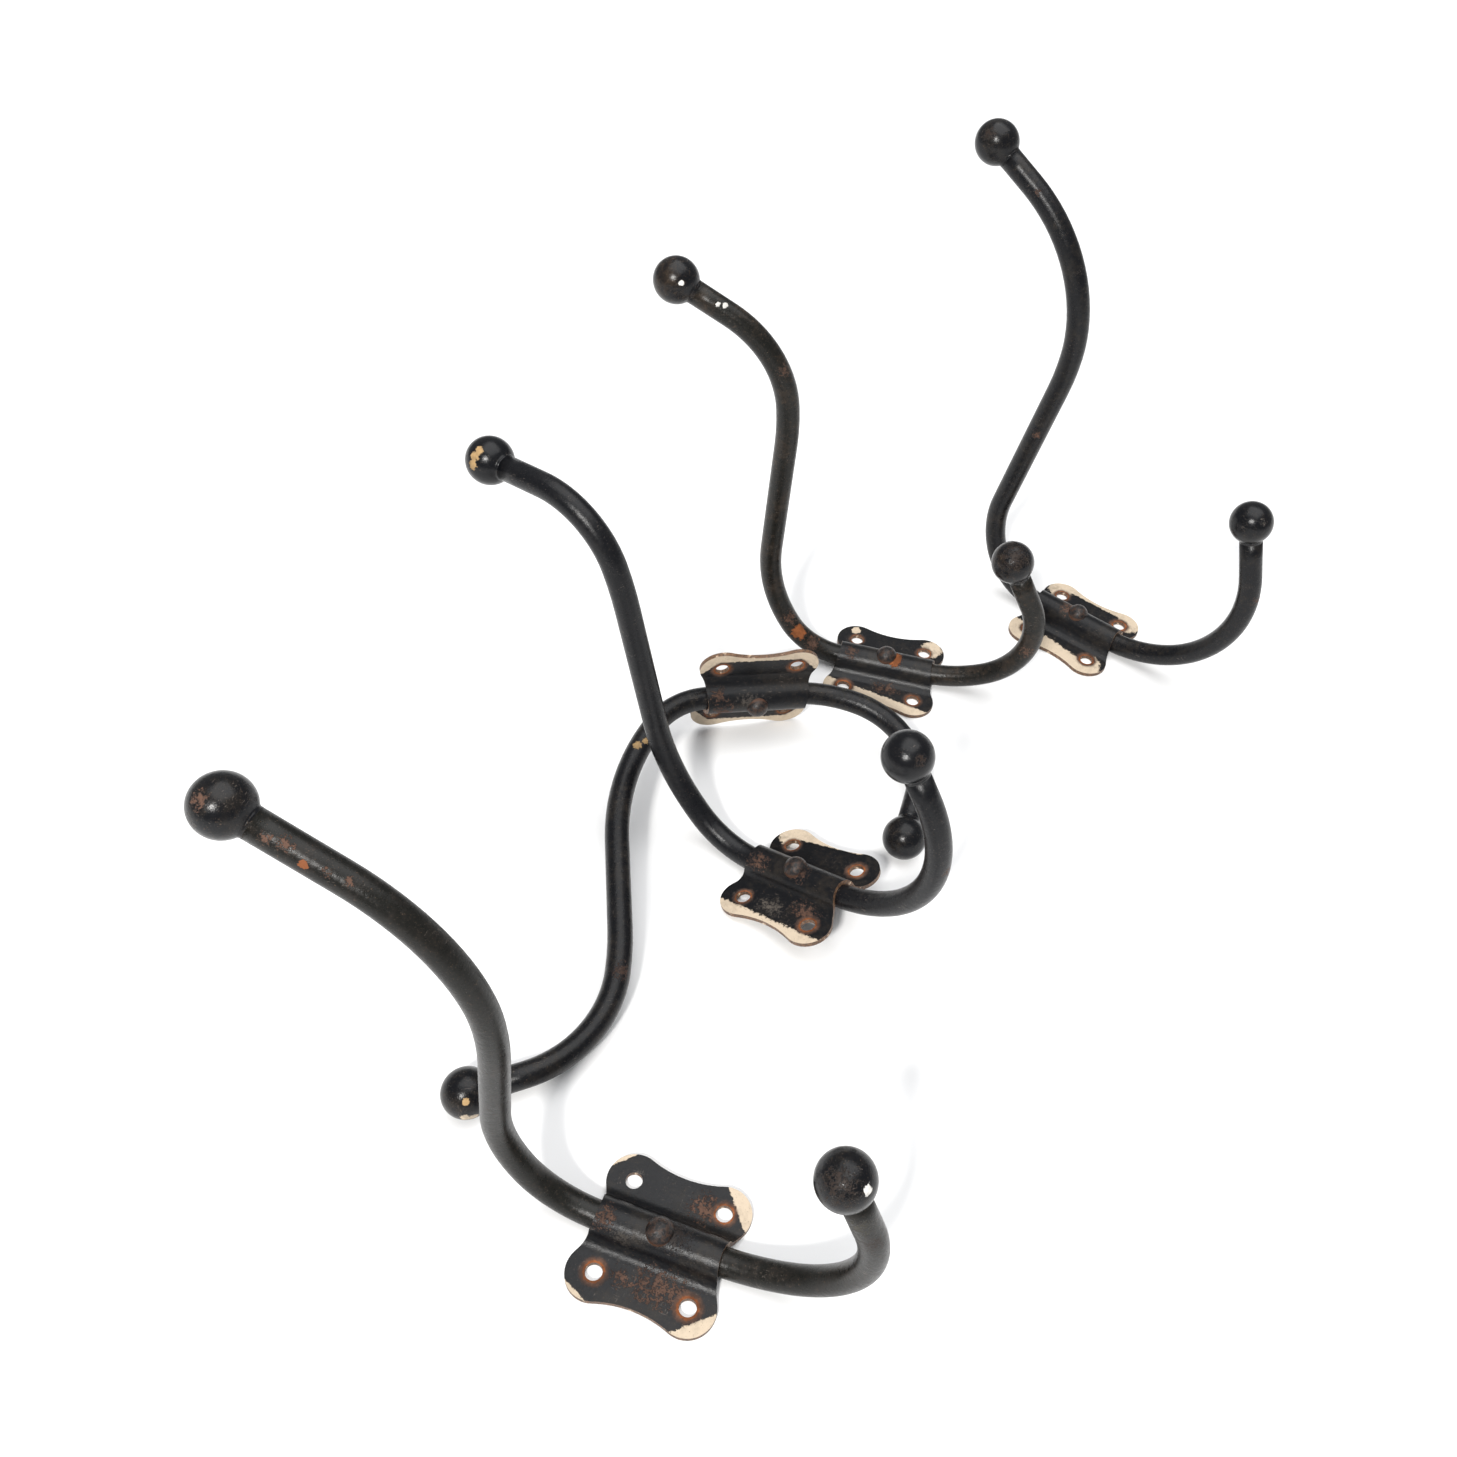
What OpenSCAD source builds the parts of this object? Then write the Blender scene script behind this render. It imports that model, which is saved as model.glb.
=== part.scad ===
// Set of five double wall hooks, laid down loose on a flat surface.
// Each hook is one bent steel rod with a ball on each end, held to a pressed wall plate by a rivet.
// A hook is drawn first as it hangs on a wall: X runs across its plate, Y out of the wall from the
// plate's back at Y = 0, and Z up along the rod, with the rivet at the origin. It is then laid down.

/* [Rod] */
// Diameter of the round bar
rod_d = 8; // [7:0.5:8.5]
// Diameter of the spigot turned on each end of the bar
spigot_d = 5; // [4:0.5:6]
// Length of each spigot
spigot_l = 6; // [4:0.5:7]

/* [Balls] */
// Diameter of a ball
ball_d = 15; // [13:0.5:17]
// Space left in a ball's bore past the end of the spigot
bore_spare = 0.5; // [0.2:0.1:1]

/* [Plate] */
// Thickness of the pressed sheet
plate_t = 1.5; // [1:0.1:2]
// Distance between neighbouring screw holes, the same across and along the plate
screw_pitch = 27; // [25:0.5:28]
// Diameter of a screw hole
screw_hole_d = 4.8; // [4:0.1:5.5]
// Radius of the round lobe about each screw hole
lobe_r = 7.8; // [7:0.1:8.5]
// Width of the plate at its waist, half way along
waist_w = 38; // [36:0.5:40]
// Length of the plate over the rod
hump_l = 35.5; // [34:0.5:38]

/* [Rivet] */
// Diameter of the rivet's domed head
rivet_head_d = 8; // [7:0.5:9]
// Height of the dome above the crown of the hump
rivet_head_h = 2.8; // [2:0.1:3.5]
// Diameter of the rivet's shank
rivet_d = 3.5; // [3:0.1:4]
// Diameter of the closed tail, flush with the back of the rod
rivet_tail_d = 5.5; // [5:0.1:6]
// Depth of the closed tail
rivet_tail_h = 1.2; // [1:0.1:1.5]

/* [Bends that all hooks share] */
// Straight length of the upper arm from the rivet to its first bend
upper_start = 17; // [15:1:19]
// Centreline radius where the upper arm leaves the plate
crook_r = 26; // [22:1:30]
// Angle by which the upper arm goes on turning outwards as it eases straight
ease_turn = 36; // [30:1:40]
// Centreline radius where the upper arm starts to turn back up
shoulder_r = 95; // [80:5:110]
// Angle of that first turn back up
shoulder_turn = 9; // [6:1:12]
// Straight length of the lower arm from the rivet to its first bend
lower_start = 14; // [12:1:16]
// Centreline radius where the lower arm leaves the plate
heel_r = 48; // [44:1:56]
// Angle of that bend
heel_turn = 29; // [24:1:34]

/* [Fit] */
// Clearance on each side between pieces that sit in one another
fit = 0.05; // [0.02:0.01:0.1]

/* [Hidden] */
$fn = 48;

// Hand-bent rods differ a little, so each hook has its own row, hook 1 first.
// Upper arm: crook angle, easing radius, straight run, top radius, top angle, straight tip to the
// ball's centre.
upper_bends = [
    [59, 44, 29, 51, 62, 29],
    [57, 58, 46, 38, 58, 20],
    [59, 62, 46, 27, 74, 22],
    [49, 80, 31, 39, 65, 17],
    [66, 38, 58, 58, 63, 18]
];
// Lower arm: cup radius, cup angle, straight tip to the ball's centre.
lower_bends = [
    [36, 82, 22],
    [28, 90, 20],
    [46, 77, 14],
    [30, 88, 18],
    [44, 79, 22]
];
// Where each hook lies: the plate's centre, then the roll about its rod, the tip of its upper end
// below level and the turn about Z. Hook 3 leans on its plate's upper lobes and hook 4 lies on its
// side, on both balls and two lobes. The others stand on the backs of their plates.
lay = [
    [[-42.7, -145.2, 0], [0, 0, 164.5]],
    [[15.8, 85.3, 0], [0, 0, 170]],
    [[-11.2, -26.2, 6.7], [-2, 17, 146]],
    [[-33.5, 49, 22.3], [-99.8, -4.5, -164.25]],
    [[92.8, 119.8, 0], [0, 0, 145]]
];

HOOKS = [1 : len(lay)];
PIECES = ["rod", "plate", "rivet", "upper_ball", "lower_ball"];

rod_r = rod_d / 2;
ball_r = ball_d / 2;
// Distance from a ball's centre to the shoulder of the rod, where the bar meets the round.
ball_seat = sqrt(ball_r * ball_r - rod_r * rod_r);
bore_l = spigot_l + bore_spare;
// Half width of the channel under the hump, and of the hump outside.
channel_r = rod_r + 3 * fit;
hump_r = channel_r + plate_t;
hump_top = rod_r + hump_r;
// Distance from the rod's axis to the centre of the bend that joins the hump to the flat. The bend's
// radius at the back is the rod's, so it starts level with the rod's axis.
bend_x = hump_r + rod_r - plate_t;
lobe_at = screw_pitch / 2;
plate_reach = lobe_at + lobe_r;
// Height of the centre of the rivet's dome.
head_y = hump_top + rivet_head_h - rivet_head_d / 2;
// Size of the blocks that trim other shapes.
past = 60;
// Each bend stops this far short of its neighbours, and a low collar of this height and length
// joins the two lengths of bar.
collar_gap = 0.05;
collar_h = 0.02;
collar_l = 0.4;

// Radius of the round that touches two lobes and leaves the plate this far from its centre.
function waist_r(edge) =
    let (gap = lobe_at - edge) (gap * gap + lobe_at * lobe_at - lobe_r * lobe_r) / (2 * (lobe_r + gap));

// The steps of a run of bar: [length, 0] is straight, and [radius, angle] is a bend. A positive
// angle turns away from the wall.
function upper_steps(h) =
    let (b = upper_bends[h - 1]) [
        [crook_r, b[0]],
        [b[1], ease_turn],
        [b[2], 0],
        [shoulder_r, -shoulder_turn],
        [b[3], -b[4]],
        [b[5] - ball_seat, 0]
    ];
function lower_steps(h) =
    let (b = lower_bends[h - 1]) [
        [heel_r, heel_turn],
        [b[0], b[1]],
        [b[2] - ball_seat, 0]
    ];

// Flips its children towards the wall where a step bends back.
module facing(step) {
    mirror([0, step[1] < 0 ? 1 : 0, 0]) children();
}

// Moves to the end of one step, heading along the bar.
module past_step(step) {
    if (step[1] == 0)
        translate([0, 0, step[0]]) children();
    else
        facing(step)
            translate([0, step[0] * (1 - cos(step[1])), step[0] * sin(abs(step[1]))])
                rotate([-abs(step[1]), 0, 0])
                    facing(step) children();
}

// Puts its children at the end of a whole run.
module past_run(steps, i = 0) {
    if (i < len(steps))
        past_step(steps[i]) past_run(steps, i + 1) children();
    else
        children();
}

// One step of bar from the origin along +Z, with the collar that joins it to the step before.
module bar_step(step) {
    translate([0, 0, -collar_l / 2]) cylinder(h = collar_l, r = rod_r + collar_h);
    if (step[1] == 0)
        translate([0, 0, collar_gap]) cylinder(h = step[0] - collar_gap, r = rod_r);
    else {
        trim = collar_gap / step[0] * 180 / PI;
        facing(step)
            translate([0, step[0], 0])
                rotate([90, 0, -90])
                    rotate([0, 0, trim])
                        rotate_extrude(angle = abs(step[1]) - 2 * trim)
                            translate([step[0], 0]) circle(r = rod_r);
    }
}

module bar_run(steps, i = 0) {
    if (i < len(steps)) {
        bar_step(steps[i]);
        past_step(steps[i]) bar_run(steps, i + 1);
    }
}

module spigot() {
    translate([0, 0, -1]) cylinder(h = spigot_l + 1, d = spigot_d);
}

// An arm from the end of the straight bar behind the plate to the tip of its spigot.
module arm(start, steps) {
    translate([0, 0, start]) {
        bar_run(steps);
        past_run(steps) spigot();
    }
}

// Shank and flush tail of the rivet, grown by a clearance where it is cut out of another piece.
module rivet_core(grow = 0) {
    rotate([-90, 0, 0]) {
        cylinder(h = hump_top, d = rivet_d + 2 * grow);
        cylinder(h = rivet_tail_h + grow, d1 = rivet_tail_d + 2 * grow, d2 = rivet_d + 2 * grow);
    }
}

module rod(h) {
    color([0.06, 0.06, 0.06])
        difference() {
            translate([0, rod_r, 0]) {
                translate([0, 0, -lower_start])
                    cylinder(h = lower_start + upper_start, r = rod_r);
                arm(upper_start, upper_steps(h));
                mirror([0, 0, 1]) arm(lower_start, lower_steps(h));
            }
            rivet_core(grow = fit);
        }
}

// A ball with its bore, at the end of a run: the shoulder of the bar is the origin.
module ball() {
    color([0.05, 0.05, 0.05])
        difference() {
            translate([0, 0, ball_seat]) sphere(r = ball_r);
            translate([0, 0, -past]) cylinder(h = past + fit / 2, r = ball_r);
            translate([0, 0, -1]) cylinder(h = bore_l + 1, d = spigot_d + fit);
        }
}

module upper_ball(h) {
    translate([0, rod_r, upper_start]) past_run(upper_steps(h)) ball();
}

module lower_ball(h) {
    translate([0, rod_r, -lower_start]) mirror([0, 0, 1]) past_run(lower_steps(h)) ball();
}

// The butterfly outline: four lobes, with hollow sides and slightly hollow ends.
module plate_outline() {
    side_r = waist_r(waist_w / 2);
    end_r = waist_r(hump_l / 2);
    side_at = waist_w / 2 + side_r;
    end_at = hump_l / 2 + end_r;
    for (x = [-1, 1], z = [-1, 1]) translate([x * lobe_at, z * lobe_at]) circle(r = lobe_r);
    difference() {
        polygon([
            [lobe_at, lobe_at], [0, end_at], [-lobe_at, lobe_at], [-side_at, 0],
            [-lobe_at, -lobe_at], [0, -end_at], [lobe_at, -lobe_at], [side_at, 0]
        ]);
        for (way = [-1, 1]) {
            translate([way * side_at, 0]) circle(r = side_r);
            translate([0, way * end_at]) circle(r = end_r);
        }
    }
}

// The sheet seen along the rod: two flats, two bends and the half-round hump.
module plate_section() {
    for (way = [0, 1]) mirror([way, 0]) {
        translate([bend_x, 0]) square([plate_reach - bend_x + 1, plate_t]);
        intersection() {
            translate([bend_x, rod_r])
                difference() {
                    circle(r = rod_r);
                    circle(r = rod_r - plate_t);
                }
            square([bend_x, rod_r]);
        }
    }
    intersection() {
        translate([0, rod_r])
            difference() {
                circle(r = hump_r);
                circle(r = channel_r);
            }
        translate([-past / 2, rod_r]) square([past, past]);
    }
}

module plate() {
    color([0.10, 0.10, 0.10])
        difference() {
            intersection() {
                linear_extrude(height = past, center = true) plate_section();
                translate([0, past / 2, 0]) rotate([90, 0, 0]) linear_extrude(height = past) plate_outline();
            }
            for (x = [-1, 1], z = [-1, 1])
                translate([x * lobe_at, -1, z * lobe_at])
                    rotate([-90, 0, 0]) cylinder(h = plate_t + 2, d = screw_hole_d);
            rivet_core(grow = fit);
        }
}

module rivet() {
    color([0.16, 0.11, 0.08]) {
        rivet_core();
        difference() {
            union() {
                translate([0, head_y, 0]) sphere(d = rivet_head_d);
                rotate([-90, 0, 0]) cylinder(h = head_y, d = rivet_head_d);
            }
            translate([0, rod_r, 0]) cylinder(h = past, r = hump_r + fit, center = true);
        }
    }
}

// Turns a hook from the wall onto its back, with its upper arm's end towards +X, and lays it down.
module laid(h) {
    translate(lay[h - 1][0]) rotate(lay[h - 1][1]) rotate([90, 0, 90]) children();
}

for (h = HOOKS) laid(h) {
    rod(h);
    plate();
    rivet();
    upper_ball(h);
    lower_ball(h);
}
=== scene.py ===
"""Looks for a loose set of five double wall hooks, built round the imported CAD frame.

Each hook is an enamelled bar bent in one plane, with a ball on each end and a pressed wall plate
riveted over it. A hook is modelled in millimetres as it hangs on a wall (X across the plate, Y out
of the wall, Z up the bar) and is then put down in its place in the set's frame, in metres.
"""

import logging
import math
from dataclasses import dataclass, replace
from enum import Enum

import bmesh
import bpy
from mathutils import Euler, Matrix, Vector

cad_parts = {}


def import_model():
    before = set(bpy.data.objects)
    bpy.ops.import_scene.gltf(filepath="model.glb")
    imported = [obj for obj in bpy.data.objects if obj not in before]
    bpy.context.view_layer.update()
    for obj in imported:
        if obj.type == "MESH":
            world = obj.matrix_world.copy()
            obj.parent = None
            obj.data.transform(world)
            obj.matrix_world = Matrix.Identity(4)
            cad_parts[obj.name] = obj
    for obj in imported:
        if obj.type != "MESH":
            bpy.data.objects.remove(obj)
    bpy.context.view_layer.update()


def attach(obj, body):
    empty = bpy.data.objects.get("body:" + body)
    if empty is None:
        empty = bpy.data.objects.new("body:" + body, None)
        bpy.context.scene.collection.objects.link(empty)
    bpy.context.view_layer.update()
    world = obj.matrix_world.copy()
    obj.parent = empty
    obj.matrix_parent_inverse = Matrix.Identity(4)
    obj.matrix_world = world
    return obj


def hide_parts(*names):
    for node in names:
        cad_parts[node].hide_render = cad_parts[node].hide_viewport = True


log = logging.getLogger("wall_hooks")

MM = 0.001
LOCAL = "hook_place"
Colour = tuple[float, float, float]
Spot3 = tuple[float, float, float]


class Piece(Enum):
    """The five pieces of one hook, by the ending of their CAD node's name."""

    ROD = "rod"
    PLATE = "plate"
    RIVET = "rivet"
    UPPER_BALL = "upper_ball"
    LOWER_BALL = "lower_ball"


class Arm(Enum):
    """The two arms of a bar; the value is the way the arm runs along Z."""

    UPPER = 1
    LOWER = -1


UP, DOWN = Arm.UPPER, Arm.LOWER


class Wear(Enum):
    """What shows where the enamel is chipped, stained or painted over: colour, then roughness."""

    CREAM = ((0.56, 0.46, 0.345), 0.60)
    TAN = ((0.40, 0.26, 0.12), 0.60)
    RUST = ((0.27, 0.085, 0.026), 0.80)
    BROWN = ((0.105, 0.056, 0.038), 0.72)
    UMBER = ((0.024, 0.015, 0.011), 0.50)
    GREY = ((0.10, 0.085, 0.072), 0.55)
    OLIVE = ((0.040, 0.036, 0.026), 0.60)
    # WHITE is a pale chip colour; on hook 1's lower ball it also serves as a painted highlight.
    WHITE = ((0.72, 0.70, 0.66), 0.50)


@dataclass(frozen=True)
class Bend:
    """One step of bar: a straight if the angle is 0, otherwise a bend."""

    size: float
    angle: float = 0.0


@dataclass(frozen=True)
class Patch:
    """A worn patch in an ellipsoid about a place on the hook, in millimetres."""

    wear: Wear
    at: Spot3
    reach: Spot3
    ragged: float = 0.5
    grain: float = 0.25
    strength: float = 1.0


@dataclass(frozen=True)
class Border:
    """A worn border of the plate past a straight line, kept near one place."""

    wear: Wear
    toward: tuple[float, float]
    start: float
    near: tuple[float, float] = (0.0, 0.0)
    within: float = 60.0
    ragged: float = 1.6
    grain: float = 0.18


@dataclass(frozen=True)
class BarSpot:
    """A worn spot on a bar or ball: back is the distance from the ball's centre along the arm.

    The spot faces a direction given in the set's frame.
    """

    wear: Wear
    arm: Arm
    back: float
    facing: Spot3
    reach: float
    ragged: float = 0.5
    strength: float = 1.0


@dataclass(frozen=True)
class Enamel:
    """Worn black stoved enamel; each ring of rust is its hole's X and Z, and its width."""

    name: str
    tint: Colour
    worn: Colour
    gloss: float
    specks: float
    pitting: float
    patches: tuple[Patch, ...] = ()
    borders: tuple[Border, ...] = ()
    rings: tuple[tuple[float, float, float], ...] = ()


class Bench:
    """Puts together one node material."""

    def __init__(self, name: str) -> None:
        """Starts a material that holds only its shader and output.

        Args:
            name: The material's name.
        """
        self.material = bpy.data.materials.new(name)
        self.material.use_nodes = True
        self.tree = self.material.node_tree
        self.tree.nodes.clear()
        self.out = self.tree.nodes.new("ShaderNodeOutputMaterial")
        self.shader = self.tree.nodes.new("ShaderNodeBsdfPrincipled")
        self.tree.links.new(self.shader.outputs[0], self.out.inputs[0])

    def put(self, socket: bpy.types.NodeSocket, value: object) -> None:
        """Sets an input to a value, or links it to an output.

        Args:
            socket: The input.
            value: A number, a tuple, or another node's output.
        """
        if isinstance(value, bpy.types.NodeSocket):
            self.tree.links.new(value, socket)
        elif isinstance(value, tuple) and len(value) == 3 and socket.type == "RGBA":
            socket.default_value = (*value, 1.0)
        else:
            socket.default_value = value

    def place(self) -> bpy.types.NodeSocket:
        """The point's place on its own hook, in millimetres."""
        node = self.tree.nodes.new("ShaderNodeAttribute")
        node.attribute_name = LOCAL
        return node.outputs["Vector"]

    def math(self, kind: str, a: object, b: object) -> bpy.types.NodeSocket:
        """Works out one sum.

        Args:
            kind: The Math node's operation.
            a: Its first value.
            b: Its second value.

        Returns:
            The result.
        """
        node = self.tree.nodes.new("ShaderNodeMath")
        node.operation = kind
        self.put(node.inputs[0], a)
        self.put(node.inputs[1], b)
        return node.outputs[0]

    def add(self, a: object, b: object) -> bpy.types.NodeSocket:
        """The sum of two values."""
        return self.math("ADD", a, b)

    def less(self, a: object, b: object) -> bpy.types.NodeSocket:
        """The first value less the second."""
        return self.math("SUBTRACT", a, b)

    def times(self, a: object, b: object) -> bpy.types.NodeSocket:
        """The product of two values."""
        return self.math("MULTIPLY", a, b)

    def height(self, at: object) -> bpy.types.NodeSocket:
        """Finds how far a place stands out of the wall.

        Args:
            at: The place on its hook.

        Returns:
            The distance in millimetres.
        """
        node = self.tree.nodes.new("ShaderNodeSeparateXYZ")
        self.put(node.inputs[0], at)
        return node.outputs[1]

    def from_line(self, at: object, x: float, z: float) -> bpy.types.NodeSocket:
        """Finds how far a place is from a line that stands straight out of the wall.

        Args:
            at: The place on its hook.
            x: Where the line stands across the plate.
            z: Where the line stands up the bar.

        Returns:
            The distance in millimetres.
        """
        gap = self.vector("SUBTRACT", at, (x, 0.0, z)).outputs[0]
        flat_gap = self.vector("MULTIPLY", gap, (1.0, 0.0, 1.0)).outputs[0]
        return self.vector("LENGTH", flat_gap).outputs["Value"]

    def vector(self, kind: str, a: object, b: object = (0.0, 0.0, 0.0)) -> bpy.types.Node:
        """Adds a Vector Math node.

        Args:
            kind: Its operation.
            a: Its first vector.
            b: Its second vector.

        Returns:
            The node, because some operations give a number.
        """
        node = self.tree.nodes.new("ShaderNodeVectorMath")
        node.operation = kind
        self.put(node.inputs[0], a)
        self.put(node.inputs[1], b)
        return node

    def noise(self, at: object, scale: float, detail: float = 3.0,
              rough: float = 0.55) -> bpy.types.NodeSocket:
        """Noise from 0 to 1 about 0.5.

        Args:
            at: Where to look it up.
            scale: Features per millimetre.
            detail: Octaves.
            rough: How strongly the finer octaves show.

        Returns:
            The noise's value.
        """
        node = self.tree.nodes.new("ShaderNodeTexNoise")
        self.put(node.inputs["Vector"], at)
        node.inputs["Scale"].default_value = scale
        node.inputs["Detail"].default_value = detail
        node.inputs["Roughness"].default_value = rough
        return node.outputs[0]

    def scratches(self, at: object, along: Spot3, width: float) -> bpy.types.NodeSocket:
        """Thin broken streaks that run one way, as a value from 0 to 1.

        Args:
            at: The point's place on its hook.
            along: How much the pattern is squeezed on each axis; small runs long.
            width: The share of the surface that is streaked.

        Returns:
            The streaks' mask.
        """
        stretched = self.vector("MULTIPLY", at, along).outputs[0]
        streak = self.noise(stretched, 1.0, 3.0, 0.6)
        gate = self.noise(at, 0.22, 2.0)
        value = self.add(streak, self.times(gate, 0.35))
        return self.step(value, 0.865 - width, 0.905 - width)

    def step(self, value: object, low: float, high: float) -> bpy.types.NodeSocket:
        """Rises smoothly from 0 to 1, or falls if low is over high.

        Args:
            value: What it follows.
            low: The value at which it is 0.
            high: The value at which it is 1.

        Returns:
            The mask.
        """
        node = self.tree.nodes.new("ShaderNodeMapRange")
        node.interpolation_type = "SMOOTHSTEP"
        self.put(node.inputs["Value"], value)
        lo, hi, out = (low, high, (0.0, 1.0)) if low < high else (high, low, (1.0, 0.0))
        node.inputs["From Min"].default_value = lo
        node.inputs["From Max"].default_value = hi
        node.inputs["To Min"].default_value, node.inputs["To Max"].default_value = out
        return node.outputs[0]

    def between(self, amount: object, a: object, b: object) -> bpy.types.NodeSocket:
        """Turns one value to another.

        Args:
            amount: 0 for the first, 1 for the second.
            a: The first value.
            b: The second value.

        Returns:
            The mixed value.
        """
        node = self.tree.nodes.new("ShaderNodeMix")
        self.put(node.inputs["Factor"], amount)
        self.put(node.inputs[2], a)
        self.put(node.inputs[3], b)
        return node.outputs[0]

    def blend(self, amount: object, a: object, b: object) -> bpy.types.NodeSocket:
        """Turns one colour to another.

        Args:
            amount: 0 for the first, 1 for the second.
            a: The first colour.
            b: The second colour.

        Returns:
            The mixed colour.
        """
        node = self.tree.nodes.new("ShaderNodeMix")
        node.data_type = "RGBA"
        self.put(node.inputs["Factor"], amount)
        self.put(node.inputs[6], a)
        self.put(node.inputs[7], b)
        return node.outputs[2]

    def bump(self, height: object, depth: float) -> None:
        """Gives the shader a bump.

        Args:
            height: The relief, from 0 to 1.
            depth: How deep the relief is, in metres.
        """
        node = self.tree.nodes.new("ShaderNodeBump")
        node.inputs["Strength"].default_value = 1.0
        node.inputs["Distance"].default_value = depth
        self.put(node.inputs["Height"], height)
        self.put(self.shader.inputs["Normal"], node.outputs[0])


class EnamelMixer:
    """Mixes one worn enamel: the black coat first, then each kind of wear over it."""

    speck_tone: Colour = (0.13, 0.085, 0.055)
    scratch_tone: Colour = (0.12, 0.10, 0.085)
    pit_tone: Colour = (0.10, 0.065, 0.045)
    flaking = (Wear.BROWN, Wear.UMBER, Wear.GREY, Wear.OLIVE)
    bump_depth = 0.00022

    def __init__(self, finish: Enamel) -> None:
        """Lays out the noises that every coat shares.

        Args:
            finish: What the enamel and its wear are like.
        """
        self.finish = finish
        self.bench = bench = Bench(finish.name)
        self.at = at = bench.place()
        self.mottle = bench.noise(at, 0.55, 5.0, 0.68)
        self.fine = bench.noise(at, 3.2, 3.0, 0.6)
        self.jag = bench.noise(at, 0.8, 6.0, 0.7)
        self.tooth = bench.noise(at, 2.4, 4.0, 0.7)
        self.rag = bench.add(bench.times(bench.less(self.jag, 0.5), 2.2), bench.less(self.tooth, 0.5))
        self.age = bench.add(bench.times(bench.noise(at, 0.09, 3.0), 0.55), bench.times(self.mottle, 0.45))
        self.colour: object = finish.tint
        self.rough: object = finish.gloss
        self.chipped: object = 0.0

    def mix(self) -> bpy.types.Material:
        """Puts all the coats on.

        Returns:
            The material.
        """
        self._black_coat()
        for patch in self.finish.patches:
            self._patch(patch)
        for border in self.finish.borders:
            self._border(border)
        for x, z, width in self.finish.rings:
            self._rust_ring(x, z, width)
        bench, pitting = self.bench, self.finish.pitting
        bench.put(bench.shader.inputs["Base Color"], self.colour)
        bench.put(bench.shader.inputs["Roughness"], self.rough)
        bench.shader.inputs["Specular IOR Level"].default_value = 0.24
        height = bench.add(bench.times(self.mottle, 0.55 * pitting), bench.times(self.fine, 0.12 * pitting))
        bench.bump(bench.less(height, bench.times(self.chipped, 0.25)), self.bump_depth)
        return bench.material

    def _black_coat(self) -> None:
        """Lays the enamel itself, dulled by age, with specks and fine scratches."""
        bench, at, few = self.bench, self.at, 0.05 * self.finish.specks
        colour = bench.blend(bench.step(self.age, 0.46, 0.66), self.finish.tint, self.finish.worn)
        speck = bench.step(bench.add(self.fine, bench.times(self.mottle, 0.35)), 0.90 - few, 0.98 - few)
        colour = bench.blend(bench.times(speck, 0.75), colour, self.speck_tone)
        scratch = bench.math("MAXIMUM", bench.scratches(at, (3.4, 3.4, 0.32), 0.010),
                             bench.scratches(at, (0.40, 2.8, 2.8), 0.002))
        self.colour = bench.blend(bench.times(scratch, 0.55), colour, self.scratch_tone)
        rough = bench.add(bench.times(self.mottle, 0.26), self.finish.gloss)
        self.rough = bench.add(rough, bench.times(speck, 0.25))

    def _lay_on(self, mask: object, wear: Wear, grain: float) -> None:
        """Covers what is there with one kind of wear.

        Args:
            mask: 1 where it covers, 0 where it doesn't.
            wear: The kind of wear.
            grain: How much darker its darkest parts are.
        """
        bench = self.bench
        tone, dull = wear.value
        shade = tuple(c * (1.0 - grain) for c in tone)
        patchy = bench.blend(bench.step(self.age, 0.40, 0.56), shade, tone)
        if wear is Wear.CREAM:
            pits = bench.step(bench.add(self.fine, bench.times(self.tooth, 0.5)), 0.90, 0.96)
            patchy = bench.blend(bench.times(pits, 0.8), patchy, self.pit_tone)
        self.colour = bench.blend(mask, self.colour, patchy)
        self.rough = bench.between(mask, self.rough, dull)
        self.chipped = bench.math("MAXIMUM", self.chipped, mask)

    def _patch(self, patch: Patch) -> None:
        """Wears one ragged patch.

        Args:
            patch: Where it is and what shows there.
        """
        bench = self.bench
        gap = bench.vector("SUBTRACT", self.at, patch.at).outputs[0]
        ratio = bench.vector("DIVIDE", gap, patch.reach).outputs[0]
        far = bench.vector("LENGTH", ratio).outputs["Value"]
        worn = bench.step(bench.less(far, bench.times(self.rag, patch.ragged)), 1.06, 0.90)
        if patch.wear in self.flaking:
            flaky = bench.add(bench.times(self.jag, 0.55), bench.times(self.tooth, 0.45))
            worn = bench.times(worn, bench.step(bench.add(flaky, bench.times(far, -0.10)), 0.43, 0.475))
        self._lay_on(bench.times(worn, patch.strength), patch.wear, patch.grain)

    def _border(self, border: Border) -> None:
        """Wears one border of the plate, up to the foot of the hump.

        Args:
            border: Where it starts and what shows past it.
        """
        bench = self.bench
        nx, nz = border.toward
        size = math.hypot(nx, nz)
        past = bench.vector("DOT_PRODUCT", self.at, (nx / size, 0.0, nz / size)).outputs["Value"]
        past = bench.add(past, bench.times(self.rag, border.ragged))
        mask = bench.step(past, border.start - 0.12, border.start + 0.12)
        near = bench.step(bench.from_line(self.at, *border.near), border.within + 0.6, border.within - 0.6)
        on_flat = bench.step(bench.height(self.at), 5.4, 4.2)
        self._lay_on(bench.times(bench.times(mask, near), on_flat), border.wear, border.grain)

    def _rust_ring(self, x: float, z: float, width: float) -> None:
        """Rusts one screw hole's rim: brown all round, and orange close in.

        Args:
            x: The hole's place across the plate.
            z: The hole's place up the bar.
            width: How wide the rust is.
        """
        bench, hole = self.bench, SIZES.hole_r
        far = bench.less(bench.from_line(self.at, x, z), bench.times(self.rag, 0.7))
        self._lay_on(bench.step(far, hole + width + 0.9, hole + width - 0.5), Wear.BROWN, 0.5)
        rust = bench.step(far, hole + width * 0.62, hole + width * 0.30)
        self._lay_on(bench.times(rust, 0.9), Wear.RUST, 0.55)


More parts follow.
